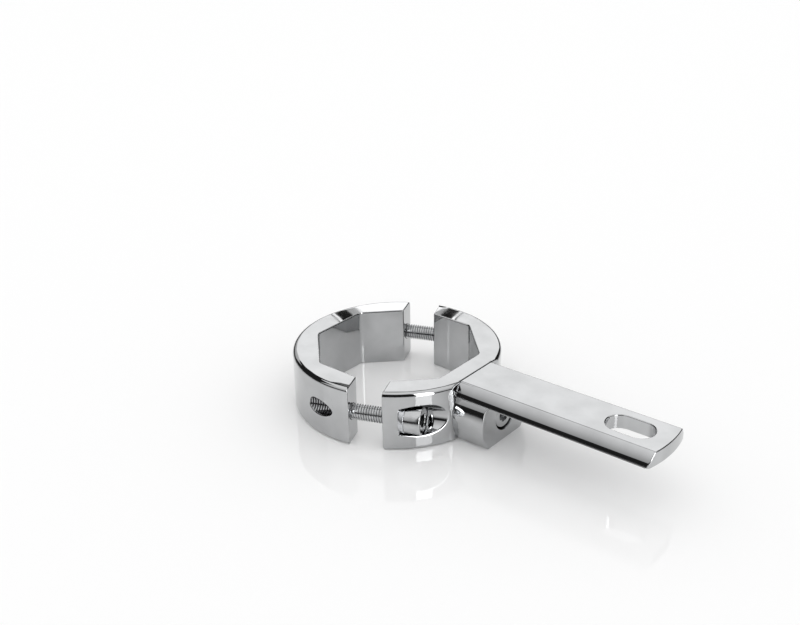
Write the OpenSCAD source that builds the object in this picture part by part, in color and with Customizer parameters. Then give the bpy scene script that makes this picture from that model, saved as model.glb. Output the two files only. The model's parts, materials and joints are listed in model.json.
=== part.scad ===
// Headlight mounting bracket for a motorcycle fork tube.
// A two-piece clamp ring closes on the tube with two cap screws, and a flat arm is
// screwed to a seat on one half. The lamp's bolt goes through the slot near the arm's tip.
// X runs along the arm, Z up along the fork tube, and the origin is the middle of the
// clamp ring at its lower face.

/* [Clamp ring] */
// Across-flats width of the eight-sided fork opening, with the gap as set below
fork_flats = 49.3; // [36:0.1:60]
// Thickness of the ring's wall at the middle of a flat
ring_wall = 8.35; // [7:0.05:10]
// Height of the ring along the fork tube
ring_h = 19.2; // [17:0.2:24]
// Radius in the inside corners of the eight-sided opening
corner_r = 2.4; // [0.6:0.2:4]
// Gap between the two clamp halves
gap = 10.5; // [5:0.5:12]
// Radius on the outside edges of the ring's two faces
edge_r = 1.4; // [0.4:0.1:2]
// Depth of the flat seat that is cut into the ring for the arm
seat_cut = 2.2; // [1.5:0.1:3]

/* [Clamp screws] */
// Thread diameter of all three cap screws
screw_d = 5; // [4:0.5:6]
// Diameter of a screw's head
head_d = 8.5; // [7:0.5:9]
// Height of a screw's head
head_h = 5; // [4:0.5:6]
// Across-flats width of the hexagon socket in a head
socket_af = 4; // [2.5:0.5:5]
// Depth of the hexagon socket
socket_depth = 2.5; // [1.5:0.5:3]
// Bevel on a head's rim and on a shank's tip
screw_bevel = 0.4; // [0.2:0.1:0.6]
// Thread length that a clamp screw has in the threaded half
clamp_engagement = 3.05; // [2.5:0.05:8]
// Wall between the gap and the shoulder that a clamp screw pulls on
shoulder_wall = 4.85; // [4:0.05:6]
// Diameter of the pocket that a clamp screw's head lies in
pocket_d = 10; // [9.5:0.1:10.6]
// Outside diameter of the spring washer under a clamp screw's head
washer_d = 8.8; // [7.5:0.1:9]
// Thickness of the spring washer
washer_t = 1.6; // [1:0.1:2]

/* [Arm] */
// Length of the arm from the seat to its tip
arm_length = 64.4; // [50:0.2:110]
// Width of the arm's top face
arm_top_w = 15.4; // [13.5:0.2:18]
// Width of the arm across its lower edges
arm_bottom_w = 20.6; // [19:0.2:22]
// Thickness of the arm
arm_t = 4.4; // [3.6:0.1:5.6]
// Radius of the arm's round sides
arm_side_r = 8.4; // [6:0.1:20]
// Radius of the shallow curve across the arm's tip
tip_r = 39; // [25:1:80]
// Radius of the tip's two corners
tip_corner_r = 1.5; // [0.5:0.1:3]
// Width of the lamp slot
slot_w = 9; // [6:0.5:10.5]
// Length of the lamp slot, end to end
slot_l = 14.5; // [11:0.5:25]
// Distance from the slot's end to the arm's tip
slot_margin = 5.2; // [4:0.2:10]

/* [Boss under the arm] */
// Radius of the boss around the fixing screw
boss_r = 11.8; // [10.6:0.1:12]
// Length of the boss from the seat to its end face
boss_l = 11; // [9:0.5:16]
// Height of the fixing screw's axis over the ring's lower face
boss_z = 8.2; // [7.8:0.1:9]
// Radius of the cove between the boss's end face and the arm
cove_r = 2; // [0.5:0.1:2.4]
// Diameter of the counterbore for the fixing screw's head
counterbore_d = 9.4; // [9.3:0.1:11]
// Depth of the fixing screw's head below the boss's end face
head_recess = 0.4; // [0:0.1:1]
// Thread length that the fixing screw has in the ring
fixing_engagement = 4.4; // [3.5:0.1:5]

/* [Clearances] */
// Radial clearance of a screw's shank in a tapped hole
thread_clearance = 0.05; // [0.02:0.01:0.1]
// Radial clearance of a screw's shank in a plain hole
plain_clearance = 0.25; // [0.15:0.05:0.4]
// Radial clearance of a screw's shank in its spring washer
washer_clearance = 0.1; // [0.05:0.05:0.2]

/* [Hidden] */
$fn = 96;

// The opening has eight flats, and one of them faces the arm
sides = 8;
side_angle = 360 / sides;
// The gap runs through two opposite corners of the opening, so the clamp screws
// lie at half a side's angle to the arm
clamp_angle = side_angle / 2;

flat_r = fork_flats / 2;
ring_r = flat_r + ring_wall;
ring_od = 2 * ring_r;
corner_centre_r = (flat_r - corner_r) / cos(clamp_angle);
corner_point_r = flat_r / cos(clamp_angle);

seat_x = ring_r - seat_cut;
tip_x = seat_x + arm_length;
boss_end_x = seat_x + boss_l;
arm_bottom_z = ring_h - arm_t;

// Clamp screws lie in the middle of the wall where the gap cuts the ring
gap_wall_inside = (flat_r - gap / 2 * sin(clamp_angle)) / cos(clamp_angle);
gap_wall_outside = sqrt(pow(ring_r, 2) - pow(gap / 2, 2));
clamp_screw_y = (gap_wall_inside + gap_wall_outside) / 2;
clamp_screw_z = ring_h / 2;
shoulder_x = gap / 2 + shoulder_wall;
clamp_screw_l = washer_t + shoulder_wall + gap + clamp_engagement;

// The fixing screw pulls on the floor of its counterbore
counterbore_depth = head_h + head_recess;
fixing_grip = boss_l - counterbore_depth;
fixing_screw_l = fixing_grip + fixing_engagement;

tapped_r = screw_d / 2 + thread_clearance;
plain_r = screw_d / 2 + plain_clearance;

// Cutters run past the faces that they cut by this much
past = 1;

// Sides of the arm are round. Each arc runs from the top face's edge to the lower edge,
// and its centre lies behind the middle of that chord
side_overhang = (arm_bottom_w - arm_top_w) / 2;
side_chord = norm([side_overhang, arm_t]);
side_depth = sqrt(pow(arm_side_r, 2) - pow(side_chord / 2, 2));
side_centre_y = (arm_bottom_w + arm_top_w) / 4 - side_depth * arm_t / side_chord;
side_centre_z = arm_t / 2 - side_depth * side_overhang / side_chord;

// Round bar or hole along X, from its near end
module rod_x(length, radius) {
    rotate([0, 90, 0]) cylinder(h = length, r = radius);
}

// Turns from the arm's direction to the clamp screws' direction
module along_clamp() {
    rotate([0, 0, clamp_angle]) children();
}

// Puts a shape on the axis of the front (-1) or the rear (+1) clamp screw
module on_clamp_screw(side) {
    along_clamp() translate([0, side * clamp_screw_y, clamp_screw_z]) children();
}

// Eight-sided opening for the fork tube, with rounded corners
module fork_opening() {
    union() {
        polygon([
            for (i = [0 : sides - 1], s = [-1, 1])
                let (a = i * side_angle, b = a + s * clamp_angle)
                    [corner_centre_r * cos(a) + corner_r * cos(b),
                     corner_centre_r * sin(a) + corner_r * sin(b)]
        ]);
        for (i = [0 : sides - 1])
            rotate([0, 0, i * side_angle]) translate([corner_centre_r, 0]) circle(r = corner_r);
    }
}

// Half of the ring's cross-section before the opening is cut, with rounded outside edges
module ring_profile() {
    union() {
        square([ring_r - edge_r, ring_h]);
        translate([0, edge_r]) square([ring_r, ring_h - 2 * edge_r]);
        for (z = [edge_r, ring_h - edge_r])
            translate([ring_r - edge_r, z]) circle(r = edge_r);
    }
}

// Half ring on one side of the gap: +1 is the arm's side, -1 the other
module half_ring(side) {
    intersection() {
        difference() {
            rotate_extrude() intersection() {
                ring_profile();
                square([ring_od, ring_h]);
            }
            translate([0, 0, -past])
                linear_extrude(ring_h + 2 * past) fork_opening();
        }
        translate([side > 0 ? gap / 2 : -gap / 2 - ring_od, -ring_od, -past])
            cube([ring_od, 2 * ring_od, ring_h + 2 * past]);
    }
}

// Clamp half that carries the arm, with screw pockets, plain holes and the arm's seat
module arm_clamp_half() {
    color("silver") difference() {
        along_clamp() half_ring(1);
        translate([seat_x, -ring_od, -past])
            cube([ring_od, 2 * ring_od, ring_h + 2 * past]);
        for (side = [-1, 1]) on_clamp_screw(side) {
            rod_x(shoulder_x + past, plain_r);
            translate([shoulder_x, 0, 0]) rod_x(ring_r, pocket_d / 2);
        }
        translate([0, 0, boss_z]) rod_x(ring_r, tapped_r);
    }
}

// Clamp half with the tapped holes, which run out through its round outside
module threaded_clamp_half() {
    color("silver") difference() {
        along_clamp() half_ring(-1);
        for (side = [-1, 1]) on_clamp_screw(side)
            translate([-ring_od, 0, 0]) rod_x(ring_od, tapped_r);
    }
}

// Cross-section of the arm: flat on both faces, with round sides that lean outwards
module arm_section() {
    intersection() {
        union() {
            translate([-arm_top_w / 2, 0]) square([arm_top_w, arm_t]);
            for (side = [-1, 1])
                translate([side * side_centre_y, side_centre_z]) circle(r = arm_side_r);
        }
        translate([-arm_bottom_w, 0]) square([2 * arm_bottom_w, arm_t]);
    }
}

// Outline of the arm seen from above, with the shallow curve across its tip
module arm_outline() {
    corner_y = arm_bottom_w / 2 - tip_corner_r;
    inner_r = tip_r - tip_corner_r;
    centre_x = tip_x - tip_r;
    corner_x = centre_x + sqrt(pow(inner_r, 2) - pow(corner_y, 2));
    touch_y = corner_y * tip_r / inner_r;
    union() {
        translate([seat_x, -arm_bottom_w / 2]) square([corner_x - seat_x, arm_bottom_w]);
        for (side = [-1, 1]) translate([corner_x, side * corner_y]) circle(r = tip_corner_r);
        intersection() {
            translate([centre_x, 0]) circle(r = tip_r);
            translate([seat_x, -touch_y]) square([arm_length, 2 * touch_y]);
        }
    }
}

// Slot for the lamp's bolt
module lamp_slot() {
    end_r = slot_w / 2;
    far_x = tip_x - slot_margin - end_r;
    near_x = far_x - slot_l + slot_w;
    translate([0, 0, arm_bottom_z - past]) linear_extrude(arm_t + 2 * past) union() {
        translate([near_x, -end_r]) square([far_x - near_x, slot_w]);
        for (x = [near_x, far_x]) translate([x, 0]) circle(r = end_r);
    }
}

// Cove that blends the boss's end face into the arm's underside
module cove() {
    translate([boss_end_x, arm_bottom_w / 2, arm_bottom_z - cove_r])
        rotate([90, 0, 0]) linear_extrude(arm_bottom_w) difference() {
            square(cove_r);
            translate([cove_r, 0]) circle(r = cove_r);
        }
}

// Arm with its boss, one piece of cast metal
module headlight_arm() {
    color("silver") difference() {
        union() {
            intersection() {
                translate([seat_x, 0, arm_bottom_z]) rotate([90, 0, 90])
                    linear_extrude(arm_length) arm_section();
                translate([0, 0, arm_bottom_z - past])
                    linear_extrude(arm_t + 2 * past) arm_outline();
            }
            intersection() {
                union() {
                    translate([seat_x, -boss_r, 0]) cube([boss_l, 2 * boss_r, arm_bottom_z + arm_t / 2]);
                    cove();
                }
                translate([seat_x, 0, boss_z]) rod_x(boss_l + cove_r, boss_r);
            }
        }
        lamp_slot();
        translate([seat_x - past, 0, boss_z]) rod_x(boss_l + past, plain_r);
        translate([boss_end_x - counterbore_depth, 0, boss_z])
            rod_x(counterbore_depth + cove_r, counterbore_d / 2);
    }
}

// Socket cap screw along X, with the bearing face of its head at x = 0 and its tip at -length
module cap_screw(length) {
    bevel = screw_bevel;
    color("darkgray") difference() {
        rotate([0, 90, 0]) rotate_extrude() polygon([
            [0, -length], [screw_d / 2 - bevel, -length], [screw_d / 2, bevel - length],
            [screw_d / 2, 0], [head_d / 2, 0], [head_d / 2, head_h - bevel],
            [head_d / 2 - bevel, head_h], [0, head_h]
        ]);
        translate([head_h - socket_depth, 0, 0]) rotate([0, 90, 0])
            cylinder(h = socket_depth + past, d = socket_af / cos(30), $fn = 6);
    }
}

// Spring washer, drawn closed flat as it lies under a tight head
module spring_washer() {
    color("darkgray") difference() {
        rod_x(washer_t, washer_d / 2);
        translate([-past, 0, 0]) rod_x(washer_t + 2 * past, screw_d / 2 + washer_clearance);
    }
}

module arm_fixing_screw() {
    translate([seat_x + fixing_grip, 0, boss_z]) cap_screw(fixing_screw_l);
}

module front_clamp_screw() {
    on_clamp_screw(-1) translate([shoulder_x + washer_t, 0, 0]) cap_screw(clamp_screw_l);
}

module rear_clamp_screw() {
    on_clamp_screw(1) translate([shoulder_x + washer_t, 0, 0]) cap_screw(clamp_screw_l);
}

module front_spring_washer() {
    on_clamp_screw(-1) translate([shoulder_x, 0, 0]) spring_washer();
}

module rear_spring_washer() {
    on_clamp_screw(1) translate([shoulder_x, 0, 0]) spring_washer();
}

arm_clamp_half();
threaded_clamp_half();
headlight_arm();
arm_fixing_screw();
front_clamp_screw();
rear_clamp_screw();
front_spring_washer();
rear_spring_washer();
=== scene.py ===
"""Looks for a chrome headlight bracket: a two-piece clamp ring with a flat slotted arm."""
import json
import math

import bmesh
import bpy
from mathutils import Matrix, Vector
from mathutils.bvhtree import BVHTree


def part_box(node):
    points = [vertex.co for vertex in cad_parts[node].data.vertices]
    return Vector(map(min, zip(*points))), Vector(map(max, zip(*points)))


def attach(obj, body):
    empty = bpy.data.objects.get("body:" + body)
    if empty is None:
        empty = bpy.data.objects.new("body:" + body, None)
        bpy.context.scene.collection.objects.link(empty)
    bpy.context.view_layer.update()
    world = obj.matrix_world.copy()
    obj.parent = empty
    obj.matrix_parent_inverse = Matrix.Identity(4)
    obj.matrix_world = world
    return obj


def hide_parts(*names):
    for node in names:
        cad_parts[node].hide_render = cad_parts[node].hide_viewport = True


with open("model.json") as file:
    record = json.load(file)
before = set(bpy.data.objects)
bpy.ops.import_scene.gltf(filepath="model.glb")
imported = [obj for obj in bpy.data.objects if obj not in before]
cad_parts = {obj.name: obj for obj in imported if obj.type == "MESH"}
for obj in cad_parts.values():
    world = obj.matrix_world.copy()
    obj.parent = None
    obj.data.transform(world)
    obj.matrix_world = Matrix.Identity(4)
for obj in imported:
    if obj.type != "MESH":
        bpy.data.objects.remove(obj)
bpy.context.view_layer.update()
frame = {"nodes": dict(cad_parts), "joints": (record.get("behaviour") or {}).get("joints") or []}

# Arm-side clamp half
# Half of a steel ring with an eight-sided opening, turned and milled, with two pockets for
# the clamp screws' heads, a flat seat for the arm and a tapped hole behind it. It is
# polished on all sides and chrome plated, so every edge has gone slightly round.
MM = 0.001
ring_r = -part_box("threaded_clamp_half")[0].x
ring_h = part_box("threaded_clamp_half")[1].z
OUTSIDE_EDGE_R = 1.4 * MM
POLISHED_EDGE_R = 0.4 * MM
INSIDE_CORNER_SHARE = 0.5
EDGE_STEPS = 3
SHARP_ANGLE = math.radians(35)
FLAT_ANGLE = math.radians(0.6)
MERGE_GAP = 0.001 * MM
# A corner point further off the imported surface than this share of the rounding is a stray
STRAY_SHARE = 0.45
# Cosines between faces: of one plane, of flats that shade as one, of roundings that do,
# and of a face and the exact surface that it stands for
SAME_PLANE = 0.999999
FLAT_SPREAD = 0.87
ROUND_SPREAD = 0.6
SAME_SURFACE = 0.9
# How far a point may lie inside the start of the ring's round edge, or off its round surface
CORE_SLACK = 0.005 * MM
SURFACE_SLACK = 0.02 * MM
# Material indices that mark a face while its piece is made
FLAT = 0
ROUNDED = 1


def marked_solid(mesh):
    """A merged solid of a mesh, each flat one face, its sharp edges marked for rounding."""
    solid = bmesh.new()
    solid.from_mesh(mesh)
    bmesh.ops.remove_doubles(solid, verts=solid.verts, dist=MERGE_GAP)
    bmesh.ops.dissolve_limit(
        solid, angle_limit=FLAT_ANGLE, verts=solid.verts, edges=solid.edges)
    weight = solid.edges.layers.float.new("bevel_weight_edge")
    for edge in solid.edges:
        if edge.calc_face_angle() > SHARP_ANGLE:
            edge[weight] = 1.0 if edge.is_convex else INSIDE_CORNER_SHARE
    for face in solid.faces:
        face.material_index = FLAT
    return solid


def evaluated_mesh(piece):
    """The plain mesh that a piece's modifiers make. They are removed."""
    evaluated = piece.evaluated_get(bpy.context.evaluated_depsgraph_get())
    mesh = bpy.data.meshes.new_from_object(evaluated)
    piece.modifiers.clear()
    return mesh


def draw_in_strays(solid, surface, reach):
    """Merges corner points that rounding threw off a surface into their nearest sound neighbour."""
    strays = {v for v in solid.verts if surface.find_nearest(v.co)[3] > reach}
    targets = {}
    for stray in strays:
        ring, seen = [stray], {stray}
        while ring and stray not in targets:
            ring = [e.other_vert(v) for v in ring for e in v.link_edges]
            ring = [v for v in dict.fromkeys(ring) if v not in seen]
            seen.update(ring)
            sound = [v for v in ring if v not in strays]
            if sound:
                spot = surface.find_nearest(stray.co)[0]
                targets[stray] = min(sound, key=lambda v: (v.co - spot).length)
    bmesh.ops.weld_verts(solid, targetmap=targets)
    bmesh.ops.dissolve_degenerate(solid, dist=MERGE_GAP, edges=solid.edges)


def refill_flats(solid):
    """Fills each flat face again from its outline and its holes, so that no triangles overlap."""
    done = set()
    flats = []
    for face in solid.faces:
        if face in done or face.material_index == ROUNDED:
            continue
        flat, front = {face}, [face]
        while front:
            for edge in front.pop().edges:
                for near in edge.link_faces:
                    level = near.normal.dot(face.normal) > SAME_PLANE
                    if level and near.material_index == FLAT and near not in flat:
                        flat.add(near)
                        front.append(near)
        done |= flat
        if any(len(f.verts) > 4 for f in flat):
            flats.append((face.normal.copy(), flat))
    for normal, flat in flats:
        edges = {edge for face in flat for edge in face.edges}
        outline = [e for e in edges if sum(f in flat for f in e.link_faces) == 1]
        inside = [e for e in edges if all(f in flat for f in e.link_faces)]
        bmesh.ops.delete(solid, geom=list(flat), context="FACES_ONLY")
        bmesh.ops.delete(solid, geom=inside, context="EDGES")
        bmesh.ops.triangle_fill(solid, use_beauty=True, edges=outline, normal=normal)


def corner_normals(solid, true_normal):
    """Normals for the faces' corners, so that flats shade flat and roundings lead into them."""
    normals = []
    for face in solid.faces:
        spread = FLAT_SPREAD if face.material_index == FLAT else ROUND_SPREAD
        for vert in face.verts:
            near = [f for f in vert.link_faces if f.normal.dot(face.normal) > spread]
            plain = [f for f in near if f.material_index == FLAT]
            total = Vector((0, 0, 0))
            for other in plain or near:
                total += other.normal * other.calc_area()
            normal = total.normalized()
            normals.append(true_normal(vert.co, normal) if plain else normal)
    return normals


def rounded_copy(name, node, edge_r, true_normal):
    """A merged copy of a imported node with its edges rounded, its inside corners half as much."""
    mesh = frame["nodes"][node].data.copy()
    mesh.name = name
    solid = marked_solid(mesh)
    surface = BVHTree.FromBMesh(solid)
    solid.to_mesh(mesh)
    solid.free()
    piece = bpy.data.objects.new(name, mesh)
    bpy.context.scene.collection.objects.link(piece)
    mesh.materials.clear()
    mesh.materials.append(None)
    mesh.materials.append(None)
    bevel = piece.modifiers.new("rounded_edges", "BEVEL")
    bevel.width = edge_r
    bevel.segments = EDGE_STEPS
    bevel.limit_method = "WEIGHT"
    bevel.use_clamp_overlap = False
    bevel.loop_slide = False
    bevel.material = ROUNDED
    rounded = evaluated_mesh(piece)
    solid = bmesh.new()
    solid.from_mesh(rounded)
    draw_in_strays(solid, surface, STRAY_SHARE * edge_r)
    solid.normal_update()
    low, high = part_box(node)
    for vert in solid.verts:
        vert.co = [min(max(vert.co[i], low[i]), high[i]) for i in range(3)]
    refill_flats(solid)
    bmesh.ops.triangulate(solid, faces=[f for f in solid.faces if len(f.verts) > 4])
    solid.normal_update()
    normals = corner_normals(solid, true_normal)
    for face in solid.faces:
        face.material_index = FLAT
        face.smooth = True
    solid.to_mesh(rounded)
    solid.free()
    rounded.materials.clear()
    rounded.normals_split_custom_set(normals)
    piece.data = rounded
    return piece


def ring_normal(point, normal):
    """The exact normal on the ring's round outside and its two round edges, or the given one."""
    spot = Vector((point.x, point.y, 0))
    core_r = ring_r - OUTSIDE_EDGE_R
    core_z = min(max(point.z, OUTSIDE_EDGE_R), ring_h - OUTSIDE_EDGE_R)
    true = point - spot.normalized() * core_r - Vector((0, 0, core_z))
    outside = spot.length > core_r - CORE_SLACK
    close = abs(true.length - OUTSIDE_EDGE_R) < SURFACE_SLACK
    if outside and close and true.normalized().dot(normal) > SAME_SURFACE:
        return true.normalized()
    return normal


def linear(code):
    """Linear RGBA from an sRGB hex code."""
    values = [int(code[i:i + 2], 16) / 255 for i in (0, 2, 4)]
    return tuple(v / 12.92 if v <= 0.04045 else ((v + 0.055) / 1.055) ** 2.4 for v in values) + (1,)


def add_node(tree, kind, links=None, **settings):
    """Adds a node, sets its properties and inputs by name, and links the sockets given."""
    node = tree.nodes.new(kind)
    for key, value in settings.items():
        setattr(node, key, value)
    for key, source in (links or {}).items():
        target = node.inputs[key]
        if isinstance(source, bpy.types.NodeSocket):
            tree.links.new(source, target)
        else:
            target.default_value = source
    return node


def new_surface(name):
    """An empty material and its node tree."""
    material = bpy.data.materials.new(name)
    material.use_nodes = True
    material.node_tree.nodes.clear()
    return material, material.node_tree


def chrome_plate(name, colour, haze_mm, rough_low, rough_high):
    """Plated metal: a neutral mirror with clouds of haze that dull and darken it a little."""
    clear_below, hazy_above = 0.35, 0.7
    clear_return, hazy_return = 1.03, 0.9
    swell_mm, swell_depth_mm = 6, 0.002
    material, tree = new_surface(name)
    place = add_node(tree, "ShaderNodeTexCoord")
    haze = add_node(
        tree, "ShaderNodeTexNoise",
        {"Vector": place.outputs["Object"], "Scale": 1 / (haze_mm * MM), "Detail": 3.0})
    rough = add_node(
        tree, "ShaderNodeMapRange",
        {"Value": haze.outputs["Fac"], "From Min": clear_below, "From Max": hazy_above,
         "To Min": rough_low, "To Max": rough_high})
    swell = add_node(
        tree, "ShaderNodeTexNoise",
        {"Vector": place.outputs["Object"], "Scale": 1 / (swell_mm * MM), "Detail": 1.0})
    bump = add_node(
        tree, "ShaderNodeBump",
        {"Height": swell.outputs["Fac"], "Strength": 1.0, "Distance": swell_depth_mm * MM})
    cloud = add_node(
        tree, "ShaderNodeMapRange",
        {"Value": haze.outputs["Fac"], "From Min": clear_below, "From Max": hazy_above,
         "To Min": clear_return, "To Max": hazy_return})
    dulled = add_node(
        tree, "ShaderNodeVectorMath", {0: linear(colour)[:3], 1: cloud.outputs["Result"]},
        operation="MULTIPLY")
    metal = add_node(
        tree, "ShaderNodeBsdfPrincipled",
        {"Base Color": dulled.outputs[0], "Metallic": 1.0, "Roughness": rough.outputs["Result"],
         "Normal": bump.outputs["Normal"]})
    add_node(tree, "ShaderNodeOutputMaterial", {"Surface": metal.outputs["BSDF"]})
    return material


# Chromium over polished nickel: a neutral mirror that returns about half the light. Faint
# clouds of polishing haze, 9 mm across, soften and dull what it mirrors
polished_chrome = chrome_plate("polished_chrome_plate", "BEBFC0", 9, 0.012, 0.04)

arm_half = rounded_copy("arm_half_polished", "arm_clamp_half", POLISHED_EDGE_R, ring_normal)
arm_half.data.materials.append(polished_chrome)
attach(arm_half, "bracket")
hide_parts("arm_clamp_half")

# Threaded clamp half
# The other half of the ring, of the same plated steel. Its two tapped holes each run along a
# chord and break out through the round outside, so their threads show there.
threaded_half = rounded_copy(
    "threaded_half_polished", "threaded_clamp_half", POLISHED_EDGE_R, ring_normal)
threaded_half.data.materials.append(polished_chrome)
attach(threaded_half, "threaded_half")
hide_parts("threaded_clamp_half")

# Headlight arm
# A flat bar with round, outward-leaning sides, cast in one piece with the boss under its
# root, then ground, polished and chrome plated. The lamp's bolt goes through its slot.
ARM_EDGE_R = 0.3 * MM


def smoothed_normal(point, normal):
    """The given normal: no part of the arm needs an exact one."""
    return normal


arm = rounded_copy("arm_polished", "headlight_arm", ARM_EDGE_R, smoothed_normal)
arm.data.materials.append(polished_chrome)
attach(arm, "bracket")
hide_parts("headlight_arm")

# Cap screws
# Three M5 socket cap screws of bright plated steel: one holds the arm, two close the ring.
# The thread is rolled, so its crests and roots are flat and its flanks smooth.
PITCH = 0.8 * MM
THREAD_DEPTH = 0.44 * MM
# Half widths of a crest's and a root's flat, in pitches
CREST_HALF = 0.0625
ROOT_HALF = 0.125
# Each pitch has four rows: the two corners of the crest and the two corners of the root
ROW_PHASES = (CREST_HALF, 0.5 - ROOT_HALF, 0.5 + ROOT_HALF, 1 - CREST_HALF)
SCREW_STEPS = 72
TURNED_MERGE_GAP = 0.0005 * MM
TURNED_SHARP_ANGLE = math.radians(24)
# Radii past every piece, for a thread that no wall trims and that has no tapered start
NO_WALL = 1.0
NO_TAPER = 1.0
TIP_TAPER = 0.45 * MM
UNDERHEAD_CHAMFER = 0.25 * MM
UNDERHEAD_CHAMFER_H = 0.1 * MM
RIM_R = 0.4 * MM
RIM_STEPS = 4
# A ring of points this far in from the head's side keeps the shading of its end face flat
END_RING_INSET = 1.2 * RIM_R
SOCKET_HALF = 2 * MM
SOCKET_DEPTH = 2.5 * MM
SOCKET_BEVEL_H = 0.2 * MM
SOCKET_POINT_H = 0.6 * MM
SOCKET_MOUTH_R = 1.2 * SOCKET_HALF


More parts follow.
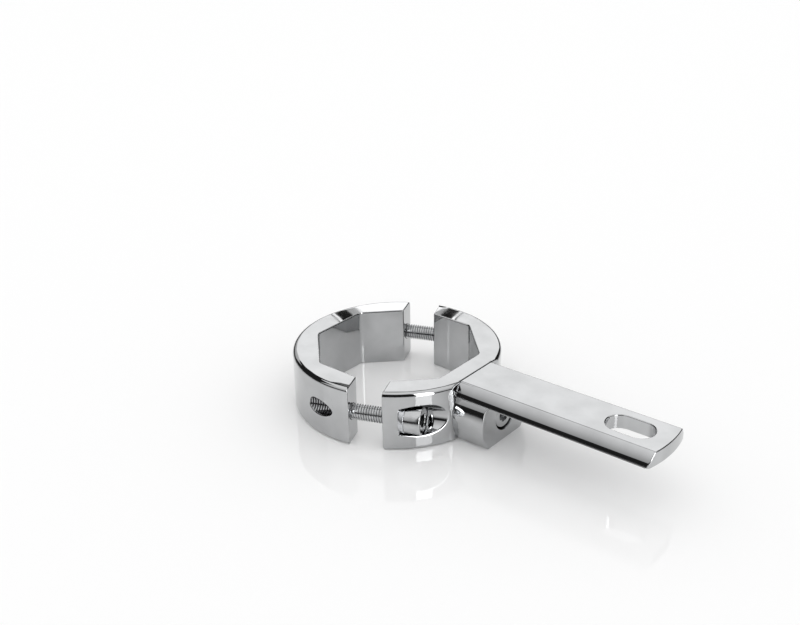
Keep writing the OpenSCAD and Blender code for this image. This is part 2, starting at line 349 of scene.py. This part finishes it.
def turned_tree():
    """Node tree that turns a profile about X and cuts a right-hand thread where it is marked."""
    tree = bpy.data.node_groups.new("turned_part", "GeometryNodeTree")
    inputs = (
        ("Profile", "Geometry"), ("Steps Around", "Int"), ("Pitch", "Float"),
        ("Thread Depth", "Float"), ("Thread Radius", "Float"), ("Thread Start", "Float"),
        ("Thread End", "Float"), ("Start Radius", "Float"), ("Wall Radius", "Float"),
        ("Axis To Middle", "Float"), ("Finish", "Material"))
    for label, kind in inputs:
        tree.interface.new_socket(label, in_out="INPUT", socket_type="NodeSocket" + kind)
    tree.interface.new_socket("Part", in_out="OUTPUT", socket_type="NodeSocketGeometry")
    given = add_node(tree, "NodeGroupInput").outputs
    math_node = "ShaderNodeMath"
    rows = add_node(
        tree, "GeometryNodeAttributeDomainSize", {"Geometry": given["Profile"]}
    ).outputs["Point Count"]
    columns = add_node(tree, math_node, {0: given["Steps Around"], 1: 1.0}, operation="ADD")
    grid = add_node(
        tree, "GeometryNodeMeshGrid", {"Vertices X": columns.outputs[0], "Vertices Y": rows})
    index = add_node(tree, "GeometryNodeInputIndex").outputs[0]
    row = add_node(tree, math_node, {0: index, 1: rows}, operation="MODULO").outputs[0]
    share = add_node(tree, math_node, {0: index, 1: rows}, operation="DIVIDE").outputs[0]
    column = add_node(tree, math_node, {0: share}, operation="FLOOR").outputs[0]
    turns = add_node(
        tree, math_node, {0: column, 1: given["Steps Around"]}, operation="DIVIDE").outputs[0]
    angle = add_node(
        tree, math_node, {0: turns, 1: 2 * math.pi}, operation="MULTIPLY").outputs[0]
    cosine = add_node(tree, math_node, {0: angle}, operation="COSINE").outputs[0]
    sine = add_node(tree, math_node, {0: angle}, operation="SINE").outputs[0]

    # The profile's points give the place along the axis, the radius and the two marks
    place = add_node(tree, "GeometryNodeInputPosition").outputs[0]
    point = add_node(
        tree, "GeometryNodeSampleIndex",
        {"Geometry": given["Profile"], "Value": place, "Index": row},
        data_type="FLOAT_VECTOR").outputs[0]
    along = add_node(tree, "ShaderNodeSeparateXYZ", {0: point}).outputs
    marks = {}
    for mark in ("thread", "socket"):
        name = add_node(
            tree, "GeometryNodeInputNamedAttribute", {"Name": mark}, data_type="FLOAT")
        marks[mark] = add_node(
            tree, "GeometryNodeSampleIndex",
            {"Geometry": given["Profile"], "Value": name.outputs[0], "Index": row},
            data_type="FLOAT").outputs[0]

    # A thread's rows climb by one pitch a turn and stop at its two ends
    climb = add_node(
        tree, math_node, {0: turns, 1: given["Pitch"]}, operation="MULTIPLY").outputs[0]
    climbed = add_node(
        tree, math_node, {0: marks["thread"], 1: climb, 2: along["X"]},
        operation="MULTIPLY_ADD").outputs[0]
    begun = add_node(
        tree, math_node, {0: climbed, 1: given["Thread Start"]}, operation="MAXIMUM").outputs[0]
    ended = add_node(
        tree, math_node, {0: begun, 1: given["Thread End"]}, operation="MINIMUM").outputs[0]

    # A tapped thread also stops where its hole runs out through a round wall. On the side
    # towards the wall's middle, its ridges' inner edges meet the wall before its roots do
    facing = add_node(
        tree, math_node, {0: cosine, 1: given["Axis To Middle"]}, operation="MULTIPLY")
    inner_side = add_node(
        tree, math_node, {0: facing.outputs[0], 1: 0.0}, operation="LESS_THAN").outputs[0]
    loss = add_node(
        tree, math_node, {0: inner_side, 1: given["Thread Depth"]}, operation="MULTIPLY")
    clear_r = add_node(
        tree, math_node, {0: given["Thread Radius"], 1: loss.outputs[0]}, operation="SUBTRACT")
    chord = add_node(
        tree, math_node, {0: cosine, 1: clear_r.outputs[0], 2: given["Axis To Middle"]},
        operation="MULTIPLY_ADD").outputs[0]
    chord_squared = add_node(tree, math_node, {0: chord, 1: chord}, operation="MULTIPLY")
    wall_squared = add_node(
        tree, math_node, {0: given["Wall Radius"], 1: given["Wall Radius"]}, operation="MULTIPLY")
    left = add_node(
        tree, math_node, {0: wall_squared.outputs[0], 1: chord_squared.outputs[0]},
        operation="SUBTRACT")
    reach = add_node(tree, math_node, {0: left.outputs[0]}, operation="SQRT")
    wall = add_node(tree, math_node, {0: reach.outputs[0], 1: -1.0}, operation="MULTIPLY")
    untrimmed = add_node(
        tree, "ShaderNodeMix", {"Factor": marks["thread"], "A": along["X"], "B": ended}
    ).outputs[0]
    x = add_node(
        tree, math_node, {0: untrimmed, 1: wall.outputs[0]}, operation="MAXIMUM").outputs[0]

    # Depth of the thread there: none at the crest, all of it at the root
    pitches = add_node(tree, math_node, {0: x, 1: given["Pitch"]}, operation="DIVIDE")
    phase = add_node(tree, math_node, {0: pitches.outputs[0], 1: turns}, operation="SUBTRACT")
    wrapped = add_node(tree, math_node, {0: phase.outputs[0], 1: 0.0, 2: 1.0}, operation="WRAP")
    from_root = add_node(tree, math_node, {0: wrapped.outputs[0], 1: 0.5}, operation="SUBTRACT")
    aside = add_node(tree, math_node, {0: from_root.outputs[0]}, operation="ABSOLUTE")
    cut = add_node(
        tree, "ShaderNodeMapRange",
        {"Value": aside.outputs[0], "From Min": 0.5 - CREST_HALF, "From Max": ROOT_HALF,
         "To Min": 0.0, "To Max": 1.0}).outputs["Result"]
    depth = add_node(tree, math_node, {0: cut, 1: given["Thread Depth"]}, operation="MULTIPLY")
    threaded = add_node(
        tree, math_node, {0: given["Thread Radius"], 1: depth.outputs[0]}, operation="SUBTRACT")
    from_start = add_node(
        tree, math_node, {0: x, 1: given["Thread Start"]}, operation="SUBTRACT").outputs[0]
    bevel = add_node(
        tree, math_node, {0: from_start, 1: given["Start Radius"]}, operation="ADD").outputs[0]
    thread_r = add_node(
        tree, math_node, {0: threaded.outputs[0], 1: bevel}, operation="MINIMUM").outputs[0]
    round_r = add_node(
        tree, "ShaderNodeMix",
        {"Factor": marks["thread"], "A": along["Y"], "B": thread_r}).outputs[0]

    # The socket's rows keep to six flats
    corner = math.pi / 3
    side = add_node(
        tree, math_node, {0: angle, 1: -corner / 2, 2: corner / 2}, operation="WRAP").outputs[0]
    flat = add_node(tree, math_node, {0: side}, operation="COSINE").outputs[0]
    hexagon_r = add_node(tree, math_node, {0: round_r, 1: flat}, operation="DIVIDE").outputs[0]
    radius = add_node(
        tree, "ShaderNodeMix",
        {"Factor": marks["socket"], "A": round_r, "B": hexagon_r}).outputs[0]

    y = add_node(tree, math_node, {0: radius, 1: cosine}, operation="MULTIPLY").outputs[0]
    z = add_node(tree, math_node, {0: radius, 1: sine}, operation="MULTIPLY").outputs[0]
    spot = add_node(tree, "ShaderNodeCombineXYZ", {"X": x, "Y": y, "Z": z}).outputs[0]
    turned = add_node(
        tree, "GeometryNodeSetPosition", {"Geometry": grid.outputs["Mesh"], "Position": spot})
    closed = add_node(
        tree, "GeometryNodeMergeByDistance",
        {"Geometry": turned.outputs[0], "Distance": TURNED_MERGE_GAP})
    real = add_node(tree, "GeometryNodeRealizeInstances", {"Geometry": closed.outputs[0]})
    finished = add_node(
        tree, "GeometryNodeSetMaterial",
        {"Geometry": real.outputs[0], "Material": given["Finish"]})
    add_node(tree, "NodeGroupOutput", {"Part": finished.outputs[0]})
    return tree


turned_nodes = turned_tree()


def grown_piece(name, start, tree, values):
    """An object whose mesh a node tree makes from a start mesh and from its inputs' values."""
    piece = bpy.data.objects.new(name, start)
    bpy.context.scene.collection.objects.link(piece)
    modifier = piece.modifiers.new(tree.name, "NODES")
    modifier.node_group = tree
    for item in tree.interface.items_tree:
        if item.name in values:
            modifier[item.identifier] = values[item.name]
    mesh = evaluated_mesh(piece)
    mesh.name = name
    piece.data = mesh
    return piece


def turned_part(name, rows, place, values):
    """Turns rows of (x, radius, thread, socket) into a closed mesh about the X axis of a place."""
    profile = bpy.data.meshes.new(name + "_profile")
    profile.from_pydata([(x, r, 0) for x, r, thread, socket in rows], [], [])
    for column, mark in ((2, "thread"), (3, "socket")):
        layer = profile.attributes.new(mark, "FLOAT", "POINT")
        layer.data.foreach_set("value", [float(row[column]) for row in rows])
    piece = grown_piece(name, profile, turned_nodes, values)
    mesh = piece.data
    solid = bmesh.new()
    solid.from_mesh(mesh)
    bmesh.ops.dissolve_degenerate(solid, dist=TURNED_MERGE_GAP, edges=solid.edges)
    bmesh.ops.recalc_face_normals(solid, faces=solid.faces)
    for face in solid.faces:
        face.smooth = True
    solid.to_mesh(mesh)
    solid.free()
    mesh.set_sharp_from_angle(angle=TURNED_SHARP_ANGLE)
    mesh.transform(place)
    return piece


def thread_rows(start, end):
    """Rows of a thread from one end to the other, with one pitch before it for the climb."""
    rows = [(start - PITCH, 0, 1, 0)]
    for count in range(math.floor(start / PITCH) - 1, math.ceil(end / PITCH) + 1):
        spots = [(count + phase) * PITCH for phase in ROW_PHASES]
        rows += [(x, 0, 1, 0) for x in spots if start - PITCH < x < end]
    return rows + [(end, 0, 1, 0)]


def spots_on_axis(node, place):
    """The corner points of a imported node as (x, radius) on the X axis of a place."""
    inverse = place.inverted()
    local = [inverse @ vert.co for vert in frame["nodes"][node].data.vertices]
    return [(p.x, math.hypot(p.y, p.z)) for p in local]


def measure(node, place):
    """Tip, bearing face and top of a packed screw along its axis, its shank and head radii."""
    near_rim, clear_of_head = 0.95, 0.1 * MM
    spots = spots_on_axis(node, place)
    head_r = max(r for x, r in spots)
    top = max(x for x, r in spots)
    bearing = min(x for x, r in spots if r > near_rim * head_r)
    shank_r = max(r for x, r in spots if x < bearing - clear_of_head)
    return min(x for x, r in spots), bearing, top, shank_r, head_r


def cap_screw(name, node, place, body):
    """A socket cap screw that stands for a packed one."""
    tip, bearing, top, shank_r, head_r = measure(node, place)
    underhead = [
        (bearing, head_r - UNDERHEAD_CHAMFER, 0, 0), (bearing + UNDERHEAD_CHAMFER_H, head_r, 0, 0)]
    rim = []
    for step in range(RIM_STEPS + 1):
        bend = step / RIM_STEPS * math.pi / 2
        rim.append((
            top - RIM_R + RIM_R * math.sin(bend), head_r - RIM_R + RIM_R * math.cos(bend), 0, 0))
    end_face = [(top, head_r - END_RING_INSET, 0, 0), (top, SOCKET_MOUTH_R, 0, 0)]
    socket_floor = top - SOCKET_DEPTH
    socket = [
        (top - SOCKET_BEVEL_H, SOCKET_HALF, 0, 1), (socket_floor, SOCKET_HALF, 0, 1),
        (socket_floor - SOCKET_POINT_H, 0, 0, 0)]
    rows = [(tip, 0, 0, 0)] + thread_rows(tip, bearing) + underhead + rim + end_face + socket
    piece = turned_part(name, rows, place, {
        "Steps Around": SCREW_STEPS, "Pitch": PITCH, "Thread Depth": THREAD_DEPTH,
        "Thread Radius": shank_r, "Thread Start": tip, "Thread End": bearing,
        "Start Radius": shank_r - TIP_TAPER, "Wall Radius": NO_WALL, "Axis To Middle": 0.0,
        "Finish": bright_screw})
    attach(piece, body)
    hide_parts(node)
    return piece


joints = {joint["name"]: joint for joint in frame["joints"]}
along_screws = Vector(joints["clamp_slide"]["axis"]).normalized()
across_screws = Vector((0, 0, 1)).cross(along_screws)
clamp_turn = Matrix((along_screws, across_screws, (0, 0, 1))).transposed().to_4x4()
screw_places = {
    side: Matrix.Translation(joints[side + "_screw_turn"]["pos_m"]) @ clamp_turn
    for side in ("front", "rear")}
fixing_low, fixing_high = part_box("arm_fixing_screw")
fixing_place = Matrix.Translation((0, 0, (fixing_low.z + fixing_high.z) / 2))

# Bright plate over a cold-formed screw: the ring's colour but a softer mirror, because the
# screw was never polished. Its clouds of haze are 2 mm across
bright_screw = chrome_plate("bright_plated_screw_steel", "BEBFC0", 2, 0.08, 0.16)

cap_screw("fixing_screw_turned", "arm_fixing_screw", fixing_place, "bracket")
for side, place in screw_places.items():
    cap_screw(side + "_clamp_screw_turned", side + "_clamp_screw", place, side + "_screw")

# Tapped threads
# Ridges of the M5 threads cut into the ring, a hair wider and shallower than the screws' own,
# so that the screws turn in them. The two in the threaded half run out through its outside.
TAPPED_STEPS = 144
RUNNING_CLEARANCE = 0.12 * MM
TAPPED_DEPTH = THREAD_DEPTH - 0.08 * MM
TAPPED_WALL = 0.06 * MM
# The ridges end this far inside the metal
EDGE_GAP = 0.1 * MM
# Points of the arm-side half this near to the X axis belong to its tapped hole
HOLE_REACH = 4 * MM
seat_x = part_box("headlight_arm")[0].x
screw_r = measure("front_clamp_screw", screw_places["front"])[3]

# Plating hardly reaches into a tapped hole, so its steel stays dark and a little rough
bare_thread = chrome_plate("thinly_plated_thread_steel", "6A6A6C", 1.5, 0.18, 0.3)


def tapped_thread(name, place, start, end, wall_r, axis_to_middle, body):
    """Ridges of a tapped hole: a sleeve that lies in the wall, with the thread inside it."""
    thread_r = screw_r + RUNNING_CLEARANCE
    back = thread_r + TAPPED_WALL
    outside = [(end, back, 0, 0), (start, back, 0, 0)]
    rows = [(start, back, 0, 0)] + thread_rows(start, end) + outside
    piece = turned_part(name, rows, place, {
        "Steps Around": TAPPED_STEPS, "Pitch": PITCH, "Thread Depth": TAPPED_DEPTH,
        "Thread Radius": thread_r, "Thread Start": start, "Thread End": end,
        "Start Radius": NO_TAPER, "Wall Radius": wall_r, "Axis To Middle": axis_to_middle,
        "Finish": bare_thread})
    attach(piece, body)
    return piece


inverse_turn = clamp_turn.inverted()
gap_face = max(
    (inverse_turn @ v.co).x for v in frame["nodes"]["threaded_clamp_half"].data.vertices)
for side, place in screw_places.items():
    distance = (inverse_turn @ place.translation).y
    tapped_thread(
        side + "_tapped_thread", place, -ring_r, gap_face - EDGE_GAP, ring_r - EDGE_GAP, distance,
        "threaded_half")
hole_end_x = min(
    v.co.x for v in frame["nodes"]["arm_clamp_half"].data.vertices if abs(v.co.y) < HOLE_REACH)
tapped_thread(
    "arm_tapped_thread", fixing_place, hole_end_x + EDGE_GAP, seat_x - EDGE_GAP, NO_WALL, 0.0,
    "bracket")

# Spring washers
# A split ring of zinc-plated spring steel under each clamp screw's head, pressed flat by it.
# Its slit is cut at a slant, and its section is nearly square, with slightly round corners.
RING_STEPS = 96
WASHER_CORNER_R = 0.15 * MM
WASHER_CORNER_STEPS = 3
SLIT_ANGLE = math.radians(14)
# Turn of the slit, in radians, for each metre through the washer
SLIT_SLANT = 0.35 / MM


def split_ring_tree():
    """Node tree that bends a nearly square bar into a ring with a slanted slit."""
    tree = bpy.data.node_groups.new("split_ring", "GeometryNodeTree")
    inputs = (
        ("Middle Radius", "Float"), ("Width", "Float"), ("Thickness", "Float"),
        ("Slit Angle", "Float"), ("Slant", "Float"), ("Corner Radius", "Float"),
        ("Finish", "Material"))
    for label, kind in inputs:
        tree.interface.new_socket(label, in_out="INPUT", socket_type="NodeSocket" + kind)
    tree.interface.new_socket("Ring", in_out="OUTPUT", socket_type="NodeSocketGeometry")
    given = add_node(tree, "NodeGroupInput").outputs
    math_node = "ShaderNodeMath"
    sweep = add_node(
        tree, math_node, {0: 2 * math.pi, 1: given["Slit Angle"]}, operation="SUBTRACT")
    arc = add_node(
        tree, "GeometryNodeCurveArc",
        {"Resolution": RING_STEPS, "Radius": given["Middle Radius"],
         "Sweep Angle": sweep.outputs[0]})
    bar = add_node(
        tree, "GeometryNodeCurvePrimitiveQuadrilateral",
        {"Width": given["Width"], "Height": given["Thickness"]})
    softened = add_node(
        tree, "GeometryNodeFilletCurve",
        {"Curve": bar.outputs[0], "Radius": given["Corner Radius"],
         "Count": WASHER_CORNER_STEPS}, mode="POLY")
    swept = add_node(
        tree, "GeometryNodeCurveToMesh",
        {"Curve": arc.outputs[0], "Profile Curve": softened.outputs[0], "Fill Caps": True})
    place = add_node(tree, "GeometryNodeInputPosition").outputs[0]
    height = add_node(tree, "ShaderNodeSeparateXYZ", {0: place}).outputs["Z"]
    lean = add_node(tree, math_node, {0: height, 1: given["Slant"]}, operation="MULTIPLY")
    leaned = add_node(
        tree, "ShaderNodeVectorRotate",
        {"Vector": place, "Axis": (0, 0, 1), "Angle": lean.outputs[0]},
        rotation_type="AXIS_ANGLE")
    slanted = add_node(
        tree, "GeometryNodeSetPosition",
        {"Geometry": swept.outputs[0], "Position": leaned.outputs[0]})
    real = add_node(tree, "GeometryNodeRealizeInstances", {"Geometry": slanted.outputs[0]})
    finished = add_node(
        tree, "GeometryNodeSetMaterial",
        {"Geometry": real.outputs[0], "Material": given["Finish"]})
    add_node(tree, "NodeGroupOutput", {"Ring": finished.outputs[0]})
    return tree


# Zinc plate on spring steel: paler and softer than chrome, with a satin haze. The real haze
# is too fine to show, so it is drawn 1.2 mm across
zinc_plate = chrome_plate("zinc_plated_spring_steel", "C9CBCE", 1.2, 0.2, 0.34)

split_ring = split_ring_tree()
for side, place in screw_places.items():
    node = side + "_spring_washer"
    spots = spots_on_axis(node, place)
    outer = max(r for x, r in spots)
    inner = min(r for x, r in spots)
    near, far = min(x for x, r in spots), max(x for x, r in spots)
    washer = grown_piece(node + "_split", bpy.data.meshes.new(node + "_start"), split_ring, {
        "Middle Radius": (outer + inner) / 2, "Width": outer - inner, "Thickness": far - near,
        "Slit Angle": SLIT_ANGLE, "Slant": SLIT_SLANT, "Corner Radius": WASHER_CORNER_R,
        "Finish": zinc_plate})
    upright = Matrix.Translation(((near + far) / 2, 0, 0)) @ Matrix.Rotation(math.pi / 2, 4, "Y")
    washer.data.transform(place @ upright)
    washer.data.shade_smooth()
    washer.data.set_sharp_from_angle(angle=SHARP_ANGLE)
    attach(washer, "bracket")
    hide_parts(node)

# Camera
# It stands where the photograph's did, in front and to the right, looking down on the ring.
# Its lens, place and turn were fitted to the corners and edges that show in the photograph.
LENS_MM = 48.93
SENSOR_MM = 36
NEAREST_SEEN = 0.01
CAMERA_PLACE = (0.19895, -0.23605, 0.17284)
YAW = math.radians(39.92)
LOOK_DOWN = math.radians(24.84)
ROLL = math.radians(0.944)
camera_data = bpy.data.cameras.new("camera")
camera_data.lens = LENS_MM
camera_data.sensor_width = SENSOR_MM
camera_data.clip_start = NEAREST_SEEN
camera = bpy.data.objects.new("camera", camera_data)
bpy.context.scene.collection.objects.link(camera)
camera_back = Vector((
    math.sin(YAW) * math.cos(LOOK_DOWN), -math.cos(YAW) * math.cos(LOOK_DOWN),
    math.sin(LOOK_DOWN)))
camera_right = Vector((math.cos(YAW), math.sin(YAW), 0))
camera_up = camera_back.cross(camera_right)
level = Matrix((camera_right, camera_up, camera_back)).transposed()
turn = level @ Matrix.Rotation(ROLL, 3, "Z").transposed()
camera.matrix_world = Matrix.Translation(CAMERA_PLACE) @ turn.to_4x4()
bpy.context.scene.camera = camera

# Floor
# A table top of pale, glossy acrylic sheet. It keeps the bracket's shadow and its mirror
# image, and the room that it mirrors is plain white.
FLOOR_HALF = 4
floor_corners = [
    (x * FLOOR_HALF, y * FLOOR_HALF, 0) for x, y in ((-1, -1), (1, -1), (1, 1), (-1, 1))]
floor_mesh = bpy.data.meshes.new("floor")
floor_mesh.from_pydata(floor_corners, [], [(0, 1, 2, 3)])
floor = bpy.data.objects.new("floor", floor_mesh)
bpy.context.scene.collection.objects.link(floor)

# Acrylic: a matt white body under a sharp clear gloss. A Glossy shader of no roughness makes
# the gloss, so that the world can tell its rays from the chrome's
table_top, acrylic = new_surface("white_acrylic_table_top")
matt = add_node(acrylic, "ShaderNodeBsdfDiffuse", {"Color": linear("FEFEFE")})
gloss = add_node(acrylic, "ShaderNodeBsdfGlossy", {"Color": (1, 1, 1, 1), "Roughness": 0.0})
slope = add_node(acrylic, "ShaderNodeFresnel", {"IOR": 1.42})
top = add_node(
    acrylic, "ShaderNodeMixShader", {0: slope.outputs[0], 1: matt.outputs[0], 2: gloss.outputs[0]})
add_node(acrylic, "ShaderNodeOutputMaterial", {"Surface": top.outputs[0]})
floor_mesh.materials.append(table_top)

# Room and light
# An even white room, in which the chrome also mirrors a studio: pale walls that brighten
# upwards, with black and white cards before them. A large soft lamp hangs overhead.
BLACK = 0.02
PLAIN_ROOM = 0.98
CARD_BLUR = 0.15
# The walls' brightness at their foot and at their top, and where those are, in degrees
WALL_FOOT, WALL_TOP = 10, 50
WALL_FOOT_LIGHT, WALL_TOP_LIGHT = 0.45, 1.1
# Cards as middle, half width, lower edge and upper edge, in degrees, and brightness. A later
# card covers the ones before it. The camera stands at 310 degrees, and +X is at 0
STUDIO_CARDS = (
    # The dark foot of the room, all round
    (0, 181, -90, 13, BLACK),
    # A white card behind the bracket, and a grey band across it
    (120, 20, 13, 62, 1.36),
    (120, 30, 36, 56, 0.2),
    # Black cards behind it on the left, then on the right
    (196, 26, 0, 48, BLACK),
    (156, 15, 30, 50, BLACK),
    (52, 32, 0, 29, BLACK),
    (92, 8, 0, 29, BLACK),
    (68, 16, 0, 46, BLACK),
    # The dark end of the room, where the camera stands, and a bright strip lamp to its right
    (308, 21, 8, 60, BLACK),
    (338, 9, -3, 45, 8.0))
# A lamp box with a gabled front, as frames one inside the other. Each has its half width, in
# degrees, at GABLE_HEIGHT, narrows all the way up and is cut off at GABLE_TOP
GABLE_FRAMES = ((3.76, 0.25), (3.64, 1.8), (3.46, BLACK), (2.6, 0.65), (1.97, 2.0))
GABLE_MIDDLE = 130.08
GABLE_FOOT, GABLE_HEIGHT, GABLE_TOP = 15, 24.9, 26.6
GABLE_TAPER = 1.0
GABLE_BLUR = 0.02

world = bpy.data.worlds.new("studio")
bpy.context.scene.world = world
world.use_nodes = True
sky = world.node_tree
sky.nodes.clear()
direction = add_node(sky, "ShaderNodeTexCoord").outputs["Generated"]
axis = add_node(sky, "ShaderNodeSeparateXYZ", {0: direction}).outputs
azimuth = add_node(
    sky, "ShaderNodeMath", {0: axis["Y"], 1: axis["X"]}, operation="ARCTAN2").outputs[0]
elevation = add_node(sky, "ShaderNodeMath", {0: axis["Z"]}, operation="ARCSINE").outputs[0]


def studio_card(under, middle, half_width, low, high, light, taper=0.0, blur=CARD_BLUR):
    """Lays a card of the studio over what lies behind it, its place and size in degrees.

    The taper is what its half width loses for each degree up. It is as given at GABLE_HEIGHT.
    """
    offset = add_node(
        sky, "ShaderNodeMath", {0: azimuth, 1: math.radians(middle)}, operation="SUBTRACT")
    wrapped = add_node(
        sky, "ShaderNodeMath", {0: offset.outputs[0], 1: -math.pi, 2: math.pi}, operation="WRAP")
    aside = add_node(sky, "ShaderNodeMath", {0: wrapped.outputs[0]}, operation="ABSOLUTE")
    rise = add_node(
        sky, "ShaderNodeMath", {0: elevation, 1: math.radians(GABLE_HEIGHT)},
        operation="SUBTRACT")
    leaned = add_node(
        sky, "ShaderNodeMath", {0: rise.outputs[0], 1: taper, 2: aside.outputs[0]},
        operation="MULTIPLY_ADD")
    mask = 1.0
    edges = (
        (leaned.outputs[0], half_width, blur), (elevation, high, blur), (elevation, low, -blur))
    for value, limit, fade in edges:
        edge = add_node(
            sky, "ShaderNodeMapRange",
            {"Value": value, "From Min": math.radians(limit + fade),
             "From Max": math.radians(limit - fade), "To Min": 0.0, "To Max": 1.0})
        mask = add_node(
            sky, "ShaderNodeMath", {0: edge.outputs[0], 1: mask}, operation="MULTIPLY").outputs[0]
    return add_node(sky, "ShaderNodeMix", {"Factor": mask, "A": under, "B": light}).outputs[0]


studio = add_node(
    sky, "ShaderNodeMapRange",
    {"Value": elevation, "From Min": math.radians(WALL_FOOT), "From Max": math.radians(WALL_TOP),
     "To Min": WALL_FOOT_LIGHT, "To Max": WALL_TOP_LIGHT}).outputs[0]
for card in STUDIO_CARDS:
    studio = studio_card(studio, *card)
for half_width, light in GABLE_FRAMES:
    studio = studio_card(
        studio, GABLE_MIDDLE, half_width, GABLE_FOOT, GABLE_TOP, light, GABLE_TAPER, GABLE_BLUR)

# The camera sees a white room, the chrome the studio, and matt surfaces a plain room
path = add_node(sky, "ShaderNodeLightPath")
room, white, mirrored = [
    add_node(sky, "ShaderNodeBackground", {"Color": (1, 1, 1, 1), "Strength": strength})
    for strength in (PLAIN_ROOM, 1.0, studio)]
seen = add_node(
    sky, "ShaderNodeMixShader",
    {0: path.outputs["Is Camera Ray"], 1: room.outputs[0], 2: white.outputs[0]})
both = add_node(
    sky, "ShaderNodeMixShader",
    {0: path.outputs["Is Glossy Ray"], 1: seen.outputs[0], 2: mirrored.outputs[0]})

# The floor's gloss, where the camera sees it, mirrors the white room and not the cards. Only
# its rays are singular, and the world counts their one bounce as a Ray Depth of 2
FLOOR_GLOSS_DEPTH = 2
early = add_node(
    sky, "ShaderNodeMath", {0: path.outputs["Ray Depth"], 1: FLOOR_GLOSS_DEPTH + 0.5},
    operation="LESS_THAN")
off_floor = add_node(
    sky, "ShaderNodeMath", {0: path.outputs["Is Singular Ray"], 1: early.outputs[0]},
    operation="MULTIPLY")
whole = add_node(
    sky, "ShaderNodeMixShader", {0: off_floor.outputs[0], 1: both.outputs[0], 2: white.outputs[0]})
add_node(sky, "ShaderNodeOutputWorld", {"Surface": whole.outputs[0]})

LAMP_PLACE = Vector((-0.2, 0.3, 1.2))
LAMP_TARGET = Vector((0.03, 0, 0))
LAMP_SIZE = 1.4
LAMP_WATTS = 0.5
lamp_data = bpy.data.lights.new("lamp_overhead", "AREA")
lamp_data.shape = "SQUARE"
lamp_data.size = LAMP_SIZE
lamp_data.energy = LAMP_WATTS
lamp = bpy.data.objects.new("lamp_overhead", lamp_data)
bpy.context.scene.collection.objects.link(lamp)
lamp.location = LAMP_PLACE
lamp.rotation_euler = (LAMP_PLACE - LAMP_TARGET).to_track_quat("Z", "Y").to_euler()
lamp.visible_glossy = False

bpy.context.scene.view_settings.view_transform = "Standard"
